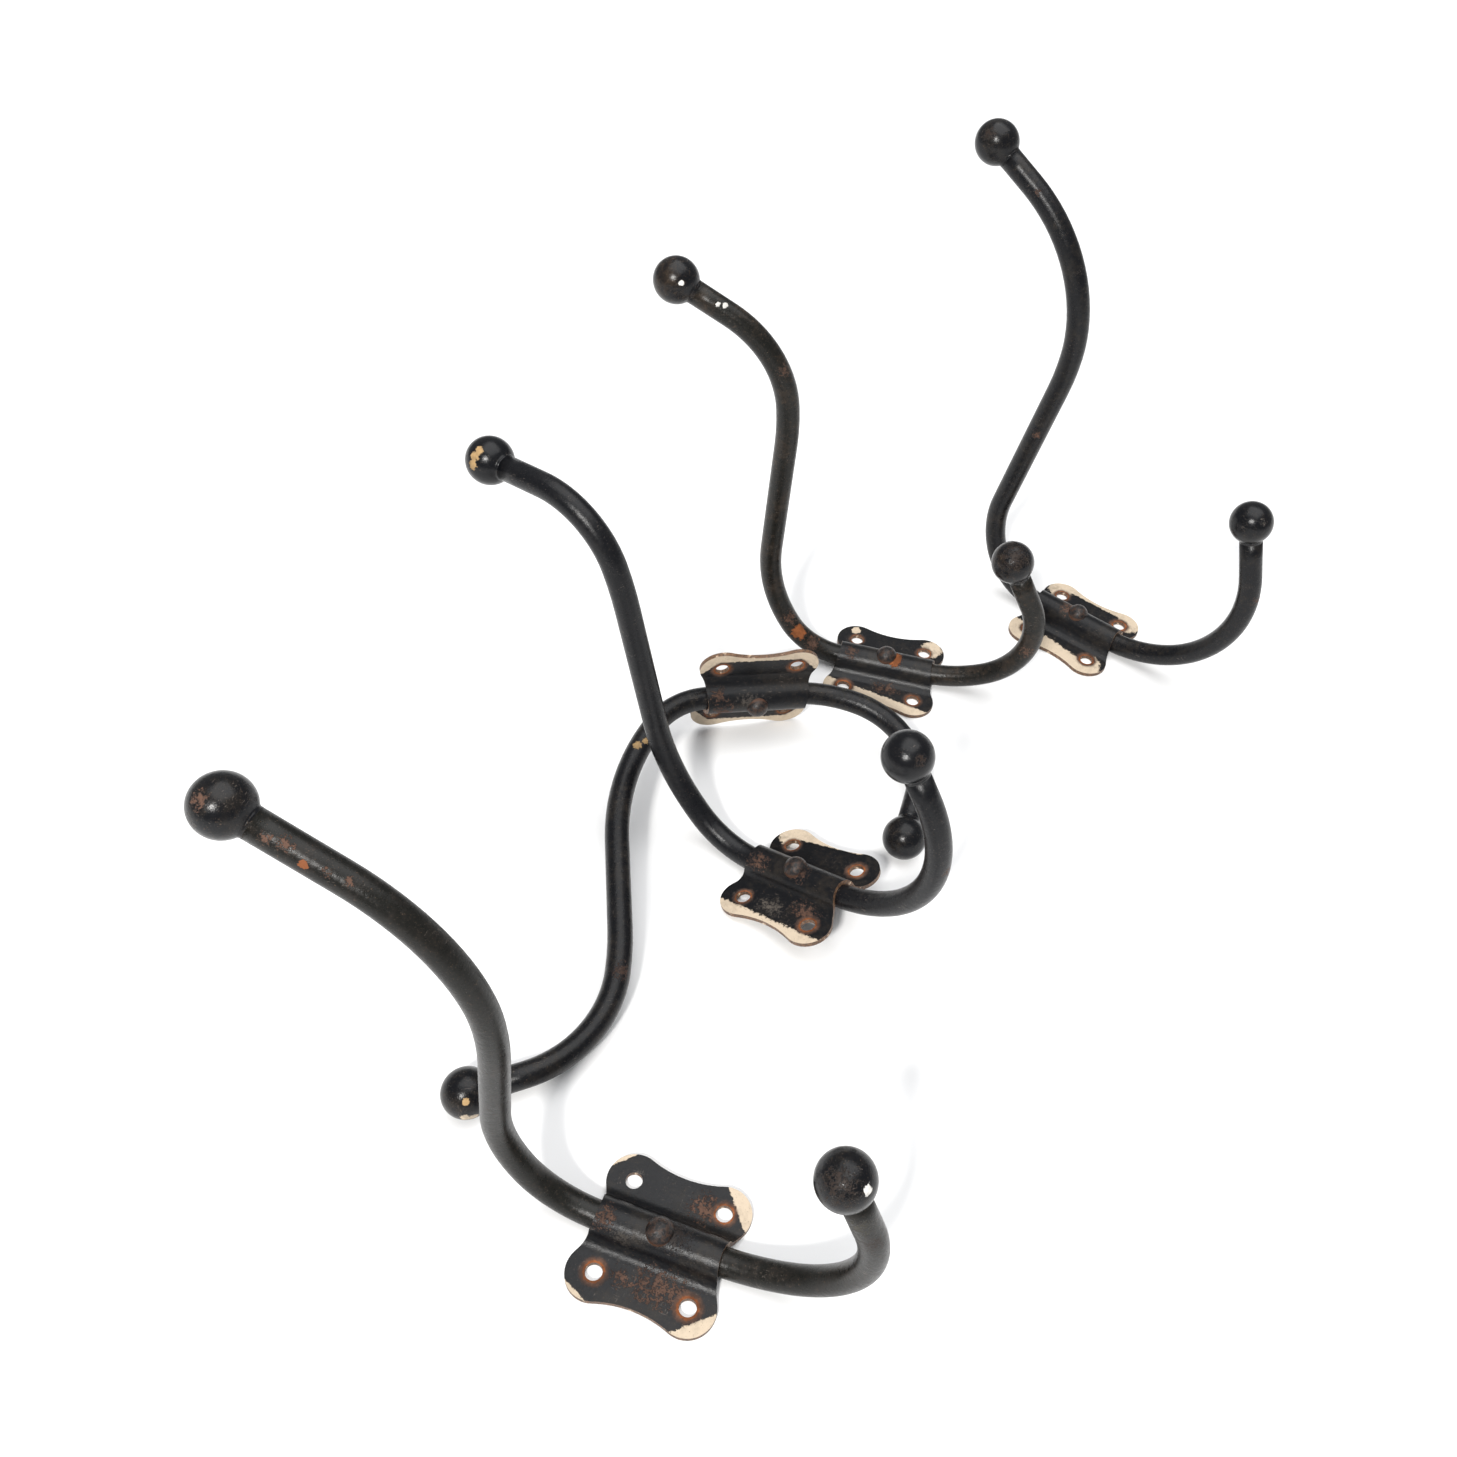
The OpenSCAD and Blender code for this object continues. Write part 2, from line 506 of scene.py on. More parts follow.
def rim_material() -> bpy.types.Material:
    """The worn cut edge of a plate: bare bronze-brown steel with old paint in places.

    Returns:
        The material.
    """
    bench = Bench("plate_rim")
    at = bench.place()
    jag = bench.noise(at, 0.45, 5.0, 0.7)
    fine = bench.noise(at, 2.0, 4.0, 0.65)
    colour = bench.blend(bench.step(fine, 0.40, 0.62), (0.045, 0.026, 0.016), (0.20, 0.105, 0.055))
    colour = bench.blend(bench.step(jag, 0.60, 0.64), colour, (0.55, 0.42, 0.30))
    bench.put(bench.shader.inputs["Base Color"], colour)
    bench.put(bench.shader.inputs["Roughness"], bench.add(bench.times(fine, 0.4), 0.32))
    bench.bump(fine, 0.00012)
    return bench.material


def rivet_material() -> bpy.types.Material:
    """Dark enamel worn to brown round the crown of the dome.

    Returns:
        The material.
    """
    bench = Bench("rivet_enamel")
    at = bench.place()
    mottle = bench.noise(at, 0.7, 5.0, 0.7)
    fine = bench.noise(at, 3.0, 3.0, 0.6)
    colour = bench.blend(bench.step(mottle, 0.44, 0.60), (0.0075, 0.0070, 0.0075), (0.040, 0.022, 0.015))
    colour = bench.blend(bench.times(bench.step(fine, 0.60, 0.68), 0.5), colour, (0.11, 0.065, 0.045))
    foot = bench.step(bench.add(bench.height(at), bench.times(mottle, 2.0)), 10.6, 9.8)
    colour = bench.blend(bench.times(foot, 0.8), colour, (0.085, 0.040, 0.024))
    bench.shader.inputs["Specular IOR Level"].default_value = 0.35
    bench.put(bench.shader.inputs["Base Color"], colour)
    bench.put(bench.shader.inputs["Roughness"], bench.add(bench.times(mottle, 0.35), 0.16))
    bench.bump(mottle, 0.00030)
    return bench.material


def floor_material() -> bpy.types.Material:
    """A plain matt white surface with the faintest unevenness.

    Returns:
        The material.
    """
    bench = Bench("floor_white")
    coords = bench.tree.nodes.new("ShaderNodeTexCoord").outputs["Object"]
    soft = bench.noise(coords, 3.0, 2.0)
    colour = bench.blend(soft, (0.86, 0.86, 0.86), (0.90, 0.90, 0.90))
    bench.put(bench.shader.inputs["Base Color"], colour)
    bench.shader.inputs["Roughness"].default_value = 0.95
    bench.shader.inputs["Specular IOR Level"].default_value = 0.1
    return bench.material


@dataclass(frozen=True)
class Sizes:
    """Sizes that all five hooks share, in millimetres."""

    rod_r: float = 4.0
    ball_r: float = 7.5
    fillet: float = 0.8
    upper_start: float = 17.0
    lower_start: float = 14.0
    sheet: float = 1.5
    lobe_at: float = 13.5
    lobe_r: float = 7.8
    waist: float = 19.0
    end: float = 17.75
    hole_r: float = 2.4
    channel_r: float = 4.15
    bend_r: float = 4.5
    rivet_r: float = 4.0
    rivet_rise: float = 2.8


SIZES = Sizes()


@dataclass
class Hook:
    """One hook: the bends of its bar, where it lies, and its wear."""

    number: int
    upper: tuple[Bend, ...]
    lower: tuple[Bend, ...]
    lies_at: Spot3
    turned: Spot3
    plate: Enamel
    rod: Enamel
    balls: Enamel
    spots: tuple[BarSpot, ...] = ()

    def __post_init__(self) -> None:
        """Works out the hook's place in the set's frame, in millimetres."""
        stand = Matrix(((0, 0, 1), (1, 0, 0), (0, 1, 0))).to_4x4()
        turn = Euler([math.radians(a) for a in self.turned], "XYZ").to_matrix().to_4x4()
        self.laid = Matrix.Translation(self.lies_at) @ turn @ stand

    @property
    def body(self) -> str:
        """The CAD body that all five pieces ride on."""
        return f"hook_{self.number}"

    def steps(self, arm: Arm) -> tuple[Bend, ...]:
        """The bends of one arm."""
        return self.upper if arm is Arm.UPPER else self.lower

    def start(self, arm: Arm) -> float:
        """How far the bar is straight on that side of the rivet."""
        return SIZES.upper_start if arm is Arm.UPPER else SIZES.lower_start

    def along(self, arm: Arm, back: float) -> tuple[Vector, Vector]:
        """A point of an arm's centreline and the bar's heading there.

        Args:
            arm: Which arm.
            back: Distance from the ball's centre towards the plate.

        Returns:
            The point and the heading, in the hook's own millimetres.
        """
        lengths = [b.size if not b.angle else b.size * math.radians(abs(b.angle)) for b in self.steps(arm)]
        left = sum(lengths) - back
        y, z, a = SIZES.rod_r, self.start(arm), 0.0
        for bend, length in zip(self.steps(arm), lengths):
            go = min(length, max(left, 0.0))
            if not bend.angle:
                y, z = y + math.sin(a) * go, z + math.cos(a) * go
            else:
                s = math.copysign(1.0, bend.angle)
                cy, cz = y + s * bend.size * math.cos(a), z - s * bend.size * math.sin(a)
                a += s * go / bend.size
                y, z = cy - s * bend.size * math.cos(a), cz + s * bend.size * math.sin(a)
            left -= length
            if left <= 0.0:
                break
        return Vector((0, y, z * arm.value)), Vector((0, math.sin(a), math.cos(a) * arm.value))

    def spot_patches(self, on_ball: bool) -> tuple[Patch, ...]:
        """Turns the hook's spots into patches on its bar or on its balls.

        Args:
            on_ball: True for the spots that lie on a ball.

        Returns:
            The patches, in the hook's own millimetres.
        """
        found = []
        for spot in self.spots:
            if (spot.back < 4.0) != on_ball:
                continue
            at, heading = self.along(spot.arm, spot.back)
            way = (self.laid.to_3x3().transposed() @ Vector(spot.facing)).normalized()
            if not on_ball:
                way = (way - heading * way.dot(heading)).normalized()
            skin = at + way * (SIZES.ball_r if on_ball else SIZES.rod_r)
            reach = (spot.reach,) * 3
            found.append(Patch(spot.wear, tuple(skin), reach, spot.ragged, 0.4, spot.strength))
        return tuple(found)


def finish_piece(bm: bmesh.types.BMesh, hook: Hook, piece: Piece,
                 materials: list[bpy.types.Material]) -> bpy.types.Object:
    """Lays a hook-frame mesh in the set's frame, gives it its materials and body, names it after its CAD
    node and hides that node.

    Args:
        bm: The mesh, in the hook's own millimetres. It is freed.
        hook: The hook that it belongs to.
        piece: Which piece it is.
        materials: Its materials, the first for most of it.

    Returns:
        The finished object.
    """
    layer = bm.verts.layers.float_vector.new(LOCAL)
    for vert in bm.verts:
        vert[layer] = vert.co
    for face in bm.faces:
        face.smooth = True
    bmesh.ops.transform(bm, matrix=Matrix.Scale(MM, 4) @ hook.laid, verts=bm.verts)
    node = f"{hook.body}_{piece.value}"
    mesh = bpy.data.meshes.new(f"{node}_look")
    bm.to_mesh(mesh)
    bm.free()
    obj = bpy.data.objects.new(f"{node}_look", mesh)
    bpy.context.scene.collection.objects.link(obj)
    for material in materials:
        mesh.materials.append(material)
    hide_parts(node)
    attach(obj, hook.body)
    log.info("%s: %d faces, rides on %s", obj.name, len(mesh.polygons), hook.body)
    return obj


class RodMaker:
    """Bends a hook's bar out of one ring of edges."""

    sides = 32
    arc_step = 3.5
    straight_step = 8.0
    ends_at = 0.72

    def build(self, hook: Hook) -> bmesh.types.BMesh:
        """Makes the bar from the end of one spigot's shoulder to the other.

        Args:
            hook: The hook whose bends to follow.

        Returns:
            The bar's mesh, in the hook's own millimetres.
        """
        bm = bmesh.new()
        made = bmesh.ops.create_circle(bm, cap_ends=False, segments=self.sides, radius=SIZES.rod_r,
                                       matrix=Matrix.Translation((0, SIZES.rod_r, 0)))
        ring = list({e for v in made["verts"] for e in v.link_edges})
        for arm in Arm:
            self._run(bm, list(ring), hook, arm)
        bmesh.ops.remove_doubles(bm, verts=bm.verts, dist=0.0005)
        bmesh.ops.recalc_face_normals(bm, faces=bm.faces)
        return bm

    def _run(self, bm: bmesh.types.BMesh, ring: list, hook: Hook, arm: Arm) -> None:
        """Runs the ring along one arm and closes it inside the ball.

        Args:
            bm: The bar's mesh.
            ring: The edges of the ring at the rivet.
            hook: The hook whose bends to follow.
            arm: Which arm.
        """
        way = arm.value
        y, z, a = SIZES.rod_r, 0.0, 0.0
        steps = [Bend(hook.start(arm)), *hook.steps(arm)]
        steps[-1] = Bend(steps[-1].size - SIZES.ball_r * self.ends_at)
        for bend in steps:
            if not bend.angle:
                move = Vector((0, math.sin(a), math.cos(a) * way)) * bend.size
                parts = max(1, round(bend.size / self.straight_step))
                for _ in range(parts):
                    out = bmesh.ops.extrude_edge_only(bm, edges=ring)["geom"]
                    verts = [g for g in out if isinstance(g, bmesh.types.BMVert)]
                    bmesh.ops.translate(bm, verts=verts, vec=move / parts)
                    ring = [g for g in out if isinstance(g, bmesh.types.BMEdge)
                            and g.verts[0] in verts and g.verts[1] in verts]
                y, z = y + math.sin(a) * bend.size, z + math.cos(a) * bend.size
                continue
            s = math.copysign(1.0, bend.angle)
            angle = math.radians(abs(bend.angle))
            cy, cz = y + s * bend.size * math.cos(a), z - s * bend.size * math.sin(a)
            count = max(3, math.ceil(abs(bend.angle) / self.arc_step))
            verts = list({v for e in ring for v in e.verts})
            out = bmesh.ops.spin(bm, geom=verts + ring, cent=(0, cy, cz * way), axis=(-s * way, 0, 0),
                                 angle=angle, steps=count, use_merge=False, use_duplicate=False)["geom_last"]
            ring = [g for g in out if isinstance(g, bmesh.types.BMEdge)]
            a += s * angle
            y, z = cy - s * bend.size * math.cos(a), cz + s * bend.size * math.sin(a)
        bmesh.ops.holes_fill(bm, edges=ring, sides=0)


def turn_on_lathe(profile: list[tuple[float, float]], axis: Vector, turns: int) -> bmesh.types.BMesh:
    """Turns a closed solid from its outline.

    Args:
        profile: Each point's radius and its height along the axis.
        axis: The axis, which passes through the origin.
        turns: How many faces go round.

    Returns:
        The solid's mesh.
    """
    bm = bmesh.new()
    last = None
    for radius, height in profile:
        vert = bm.verts.new(Vector((max(radius, 0.0), 0, 0)) + axis * height)
        if last is not None:
            bm.edges.new((last, vert))
        last = vert
    bmesh.ops.spin(bm, geom=bm.verts[:] + bm.edges[:], cent=(0, 0, 0), axis=axis,
                   angle=math.tau, steps=turns, use_merge=True, use_duplicate=False)
    bmesh.ops.remove_doubles(bm, verts=bm.verts, dist=0.001)
    bmesh.ops.holes_fill(bm, edges=[e for e in bm.edges if e.is_boundary], sides=0)
    bmesh.ops.recalc_face_normals(bm, faces=bm.faces)
    return bm


class BallMaker:
    """Turns a ball with the small fillet of paint where it meets the bar."""

    turns = 48

    def profile(self) -> list[tuple[float, float]]:
        """Draws the ball's outline, from its crown to inside the bar.

        Returns:
            Each point's radius and height.
        """
        rod, ball, f = SIZES.rod_r + 0.03, SIZES.ball_r, SIZES.fillet
        low = -math.sqrt((ball + f) ** 2 - (rod + f) ** 2)
        end = math.atan2(-low, rod + f)
        arc = [math.pi / 2 - (math.pi / 2 + end) * i / 26 for i in range(27)]
        points = [(ball * math.cos(a), ball * math.sin(a)) for a in arc]
        for i in range(1, 6):
            a = math.pi - end + end * i / 5
            points.append((rod + f + f * math.cos(a), low + f * math.sin(a)))
        return points + [(rod - 0.01, low - 0.5), (rod - 0.9, low - 0.6)]

    def build(self, hook: Hook, arm: Arm) -> bmesh.types.BMesh:
        """Makes the ball at the end of one arm.

        Args:
            hook: The hook that it sits on.
            arm: Which arm's end.

        Returns:
            The ball's mesh, in the hook's own millimetres.
        """
        bm = turn_on_lathe(self.profile(), Vector((0, 0, 1)), self.turns)
        centre, heading = hook.along(arm, 0.0)
        turn = heading.to_track_quat("Z", "X").to_matrix().to_4x4()
        bmesh.ops.transform(bm, matrix=Matrix.Translation(centre) @ turn, verts=bm.verts)
        return bm


class RivetMaker:
    """Turns the rivet: closed tail, shank and domed head."""

    turns = 40

    def profile(self) -> list[tuple[float, float]]:
        """Draws the rivet's outline, from tail to crown.

        Returns:
            Each point's radius and its height out of the wall.
        """
        top = SIZES.rod_r + SIZES.channel_r + SIZES.sheet + SIZES.rivet_rise
        head = top - SIZES.rivet_r
        points = [(0.0, 0.0), (2.6, 0.0), (2.75, 0.15), (1.75, 1.2), (1.75, 6.4), (3.7, 6.6), (4.0, 7.0)]
        for i in range(11):
            a = math.pi / 2 * i / 10
            points.append((SIZES.rivet_r * math.cos(a), head + SIZES.rivet_r * math.sin(a)))
        return points

    def build(self) -> bmesh.types.BMesh:
        """Makes the rivet.

        Returns:
            The rivet's mesh, in the hook's own millimetres.
        """
        return turn_on_lathe(self.profile(), Vector((0, 1, 0)), self.turns)


class PlateMaker:
    """Presses the butterfly plate: the hump is drawn as a section and trimmed to the outline."""

    soft_edge = 0.32
    blank_half = 26.0
    blank_reach = 24.0
    outline_reach = 14.0
    drill_depth = 8.0
    edge_beyond = 10.6

    def build(self) -> bmesh.types.BMesh:
        """Makes the plate.

        Returns:
            The plate's mesh, in the hook's own millimetres.
        """
        sheet = self._solid(self._section(), (0, 0, 1), self.blank_reach)
        outline = self._solid(self._outline(), (0, 1, 0), self.outline_reach)
        parts = [sheet, self._cut(sheet, outline, "INTERSECT")]
        for x in (-1, 1):
            for z in (-1, 1):
                bm = bmesh.new()
                lie = Matrix.Translation((x * SIZES.lobe_at, 1, z * SIZES.lobe_at))
                lie = lie @ Matrix.Rotation(math.pi / 2, 4, "X")
                bmesh.ops.create_cone(bm, cap_ends=True, segments=36, radius1=SIZES.hole_r,
                                      radius2=SIZES.hole_r, depth=self.drill_depth, matrix=lie)
                parts.append(self._cut(parts[-1], self._object(bm), "DIFFERENCE"))
        bm = bmesh.new()
        bm.from_mesh(parts[-1].data)
        for part in parts:
            bpy.data.objects.remove(part)
        bmesh.ops.remove_doubles(bm, verts=bm.verts, dist=0.002)
        bmesh.ops.dissolve_limit(bm, angle_limit=math.radians(0.4), verts=bm.verts, edges=bm.edges)
        sharp = [e for e in bm.edges if e.is_manifold and e.calc_face_angle() > math.radians(50)]
        bmesh.ops.bevel(bm, geom=sharp, offset=self.soft_edge, offset_type="OFFSET", segments=3,
                        profile=0.5, affect="EDGES", material=-1, clamp_overlap=True)
        bmesh.ops.recalc_face_normals(bm, faces=bm.faces)
        # The cut edges, which face along Z or sideways past the hump, take the rim's material.
        for face in bm.faces:
            x, n = face.calc_center_median().x, face.normal
            worn = abs(n.z) > 0.35 or (abs(x) > self.edge_beyond and abs(n.y) < 0.95)
            face.material_index = 1 if worn else 0
        return bm

    def _section(self) -> list[Vector]:
        """Draws the sheet as it is seen along the bar.

        Returns:
            One closed line, in X and Y.
        """
        t, c = SIZES.sheet, SIZES.rod_r
        hump, channel, bend = SIZES.channel_r + SIZES.sheet, SIZES.channel_r, SIZES.bend_r
        rise = t + bend - c
        join = math.sqrt((hump + bend) ** 2 - rise ** 2)
        tilt = math.degrees(math.atan2(rise, join))
        half = [Vector((self.blank_half, t, 0)), *self._arc((join, t + bend), bend, -90, -180 + tilt, 12)]
        half += self._arc((0, c), hump, tilt, 90, 16)[1:]
        over = half + [Vector((-v.x, v.y, 0)) for v in reversed(half[:-1])]
        under = [Vector((self.blank_half, 0, 0))]
        under += self._arc((join, t + bend), bend + t, -90, -180 + tilt, 12)
        under += self._arc((0, c), channel, tilt, 90, 16)[1:]
        below = under + [Vector((-v.x, v.y, 0)) for v in reversed(under[:-1])]
        return over + list(reversed(below))

    def _outline(self) -> list[Vector]:
        """Draws the butterfly outline.

        Returns:
            One closed line, in X and Z.
        """
        a, r = SIZES.lobe_at, SIZES.lobe_r

        def hollow(edge: float) -> float:
            """The radius of the round that touches two lobes and is this far from the centre."""
            gap = a - edge
            return (gap * gap + a * a - r * r) / (2 * (r + gap))

        side, end = hollow(SIZES.waist), hollow(SIZES.end)
        side_at, end_at = SIZES.waist + side, SIZES.end + end
        to_side = math.degrees(math.atan2(-a, side_at - a))
        to_end = math.degrees(math.atan2(end_at - a, -a))
        quarter = self._arc((side_at, 0), side, 180, 180 + to_side, 9)
        quarter += self._arc((a, a), r, to_side, to_end, 30)[1:]
        quarter += self._arc((0, end_at), end, to_end - 180, -90, 9)[1:]
        points = quarter[:-1]
        points += [Vector((-v.x, v.y, 0)) for v in reversed(quarter)][:-1]
        points += [Vector((-v.x, -v.y, 0)) for v in quarter][:-1]
        points += [Vector((v.x, -v.y, 0)) for v in reversed(quarter)][:-1]
        return [Vector((v.x, 0, v.y)) for v in points]

    def _arc(self, centre: tuple[float, float], radius: float, first: float, last: float,
             count: int) -> list[Vector]:
        """Draws an arc.

        Args:
            centre: Its centre.
            radius: Its radius.
            first: The angle that it starts at, in degrees.
            last: The angle that it ends at, in degrees.
            count: How many steps it has.

        Returns:
            Its points, both ends included.
        """
        middle = Vector((*centre, 0))
        angles = [math.radians(first + (last - first) * i / count) for i in range(count + 1)]
        return [middle + Vector((math.cos(t), math.sin(t), 0)) * radius for t in angles]

    def _solid(self, line: list[Vector], way: Spot3, reach: float) -> bpy.types.Object:
        """Pulls a closed line out both ways.

        Args:
            line: The line's points.
            way: The direction to pull in.
            reach: How far to pull each way.

        Returns:
            The solid, as a working object.
        """
        bm = bmesh.new()
        push = Vector(way) * reach
        face = bm.faces.new([bm.verts.new(v - push) for v in line])
        out = bmesh.ops.extrude_face_region(bm, geom=[face])["geom"]
        bmesh.ops.translate(bm, verts=[g for g in out if isinstance(g, bmesh.types.BMVert)], vec=push * 2)
        bmesh.ops.recalc_face_normals(bm, faces=bm.faces)
        return self._object(bm)

    def _object(self, bm: bmesh.types.BMesh) -> bpy.types.Object:
        """Makes a working object.

        Args:
            bm: Its mesh, which is freed.

        Returns:
            The object.
        """
        mesh = bpy.data.meshes.new("work")
        bm.to_mesh(mesh)
        bm.free()
        obj = bpy.data.objects.new("work", mesh)
        bpy.context.scene.collection.objects.link(obj)
        return obj

    def _cut(self, obj: bpy.types.Object, tool: bpy.types.Object, kind: str) -> bpy.types.Object:
        """Does one boolean.

        Args:
            obj: The solid that is cut.
            tool: The solid that cuts it, which is used up.
            kind: The boolean's operation.

        Returns:
            The result, as a new working object.
        """
        modifier = obj.modifiers.new("cut", "BOOLEAN")
        modifier.operation, modifier.object, modifier.solver = kind, tool, "EXACT"
        graph = bpy.context.evaluated_depsgraph_get()
        graph.update()
        mesh = bpy.data.meshes.new_from_object(obj.evaluated_get(graph))
        obj.modifiers.clear()
        bpy.data.objects.remove(tool)
        made = bpy.data.objects.new("work", mesh)
        bpy.context.scene.collection.objects.link(made)
        return made


BLACK: Colour = (0.0040, 0.0043, 0.0055)
BLACK_OLIVE: Colour = (0.0070, 0.0068, 0.0056)
SMOKE: Colour = (0.0150, 0.0125, 0.0105)
SOOT: Colour = (0.0075, 0.0072, 0.0080)
UMBER_SMOKE: Colour = (0.024, 0.017, 0.012)


def plate_finish(number: int, patches: tuple[Patch, ...], borders: tuple[Border, ...],
                 rings: tuple[float, float, float, float]) -> Enamel:
    """Gives one plate its finish.

    Args:
        number: The hook's number.
        patches: Its worn patches.
        borders: Its worn borders.
        rings: The width of rust round the holes at +X+Z, +X-Z, -X+Z and -X-Z; 0 for none.

    Returns:
        The finish.
    """
    a = SIZES.lobe_at
    places = ((a, a), (a, -a), (-a, a), (-a, -a))
    return Enamel(f"plate_enamel_{number}", BLACK, SMOKE, 0.20, 1.0, 1.0, patches, borders,
                  tuple((x, z, w) for (x, z), w in zip(places, rings) if w > 0))


def upper_arm(crook: float, ease: float, run: float, top: float, turn: float,
              tip: float) -> tuple[Bend, ...]:
    """The long arm's bends, out from the plate."""
    return (Bend(26, crook), Bend(ease, 36), Bend(run), Bend(95, -9), Bend(top, -turn), Bend(tip))


def lower_arm(cup: float, turn: float, tip: float) -> tuple[Bend, ...]:
    """The short arm's bends, out from the plate."""
    return (Bend(48, 29), Bend(cup, turn), Bend(tip))


def bar_finish(number: int, tint: Colour, worn: Colour, specks: float) -> Enamel:
    """The finish of one bar, before its spots."""
    return Enamel(f"rod_enamel_{number}", tint, worn, 0.17, specks, 1.0)


def ball_finish(number: int, worn: Colour, specks: float) -> Enamel:
    """The finish of one hook's two balls, before their spots."""
    return Enamel(f"ball_enamel_{number}", BLACK, worn, 0.10, specks, 0.7)


def hook_one() -> Hook:
    """The nearest hook, which stands clear of the others."""
    patches = (
        Patch(Wear.BROWN, (11.5, 1.5, -4.5), (5, 3, 8.5), 1.1, 0.6, 0.85),
        Patch(Wear.BROWN, (12.5, 1.5, 6.0), (2.5, 3, 4), 1.1, 0.6, 0.8),
        Patch(Wear.BROWN, (-13.0, 1.5, -8.0), (4.5, 3, 4.5), 0.9, 0.5),
        Patch(Wear.BROWN, (2.0, 9.0, 15.5), (4, 3, 3), 1.0, 0.5),
        Patch(Wear.UMBER, (0.0, 9.5, -3.5), (5.5, 3, 6.0), 0.8, 0.4, 0.8),
        Patch(Wear.GREY, (4.5, 7.5, 9.0), (2.0, 3, 4), 1.3, 0.5, 0.3),
    )
    borders = (
        Border(Wear.CREAM, (-1, -1.2), 22.6, (-13.5, -13.5), 12, 1.0),
        Border(Wear.CREAM, (0.92, 0.38), 24.3, (13.5, 13.5), 11, 0.7),
        Border(Wear.CREAM, (0.75, -0.66), 23.2, (13.5, -13.5), 12, 1.2),
        Border(Wear.CREAM, (-0.8, 0.8), 25.8, (-13.5, 13.5), 12, 0.8),
    )
    spots = (
        BarSpot(Wear.BROWN, UP, 0, (-0.30, -0.50, 0.80), 2.4, 0.5),
        BarSpot(Wear.GREY, UP, 0, (-0.55, -0.80, 0.15), 1.8, 1.0, 0.35),
        BarSpot(Wear.BROWN, UP, 11.5, (-0.1, -0.8, 0.75), 1.6, 0.8),
        BarSpot(Wear.BROWN, UP, 15.5, (0.1, -0.6, 0.9), 2.0, 0.8),
        BarSpot(Wear.RUST, UP, 21, (0.0, -0.9, 0.5), 1.1, 0.8, 0.7),
        BarSpot(Wear.BROWN, UP, 26, (0.0, -0.7, 0.7), 1.3, 0.8),
        BarSpot(Wear.BROWN, UP, 31, (0.0, -0.5, 0.9), 1.1, 0.8),
        BarSpot(Wear.UMBER, DOWN, 0, (-0.3, -0.6, 0.75), 4.6, 0.9),
        # Pale spot on the lower ball's right side where the glint falls: partly a real chip, partly a
        # painted highlight.
        BarSpot(Wear.WHITE, DOWN, 0, (0.62, -0.52, 0.58), 1.3, 0.9),
        BarSpot(Wear.OLIVE, DOWN, 14, (-0.2, -0.8, 0.4), 3.6, 1.1, 0.8),
        BarSpot(Wear.UMBER, DOWN, 22, (0.2, -0.8, 0.4), 3.6, 1.1, 0.8),
    )
    return Hook(1, upper_arm(59, 44, 29, 51, 62, 29), lower_arm(36, 82, 22),
                lies_at=(-42.7, -145.2, 0), turned=(0, 0, 164.5),
                plate=plate_finish(1, patches, borders, (1.3, 1.5, 0.0, 1.0)),
                rod=bar_finish(1, BLACK_OLIVE, SMOKE, 1.5),
                balls=ball_finish(1, SMOKE, 1.5), spots=spots)


def hook_two() -> Hook:
    """The fourth hook back, browned along its bar and creamed along one flange."""
    patches = (
        Patch(Wear.CREAM, (18.0, 1.5, 10.5), (4.6, 3, 5.5), 0.35, 0.3),
        Patch(Wear.CREAM, (-16.5, 1.5, -16.0), (4.6, 3, 4.2), 0.45, 0.35),
        Patch(Wear.CREAM, (-18.5, 1.5, 15.0), (2.0, 3, 1.8), 0.6),
        Patch(Wear.RUST, (1.5, 9.6, -3.5), (3.5, 3, 2.6), 0.8, 0.5),
        Patch(Wear.BROWN, (2.5, 9.0, 13.5), (3, 3, 3), 1.0, 0.5, 0.8),
        Patch(Wear.BROWN, (10.5, 1.5, -2.5), (3, 3, 5), 1.1, 0.5, 0.8),
    )
    borders = (
        Border(Wear.CREAM, (1, 0.2), 13.9, (18, 0), 28, 1.3),
        Border(Wear.CREAM, (0.9, 0.45), 19.0, (13.5, 13.5), 12, 1.0),
    )
    spots = (
        BarSpot(Wear.WHITE, UP, 0, (0.30, -0.86, 0.35), 0.9, 0.9),
        BarSpot(Wear.WHITE, UP, 17, (0.1, -0.6, 0.9), 0.9, 1.0),
        BarSpot(Wear.WHITE, UP, 15, (0.1, -0.8, 0.7), 0.8, 1.0),
        BarSpot(Wear.BROWN, UP, 44, (0.3, -0.7, 0.7), 2.6, 1.0, 0.6),
        BarSpot(Wear.BROWN, UP, 152, (0.3, -0.8, 0.6), 3.2, 0.9),
        BarSpot(Wear.RUST, UP, 160, (0.2, -0.8, 0.6), 3.0, 0.9, 0.8),
        BarSpot(Wear.BROWN, UP, 168, (0.2, -0.7, 0.7), 3.6, 0.9),
        BarSpot(Wear.UMBER, DOWN, 0, (-0.1, -0.6, 0.8), 4.5, 0.9),
        BarSpot(Wear.BROWN, DOWN, 40, (0.0, -0.7, 0.7), 2.6, 1.0, 0.8),
    )
    return Hook(2, upper_arm(57, 58, 46, 38, 58, 20), lower_arm(28, 90, 20),
                lies_at=(15.8, 85.3, 0), turned=(0, 0, 170),
                plate=plate_finish(2, patches, borders, (1.6, 1.0, 0.5, 0.8)),
                rod=bar_finish(2, BLACK_OLIVE, UMBER_SMOKE, 1.7),
                balls=ball_finish(2, UMBER_SMOKE, 1.7), spots=spots)


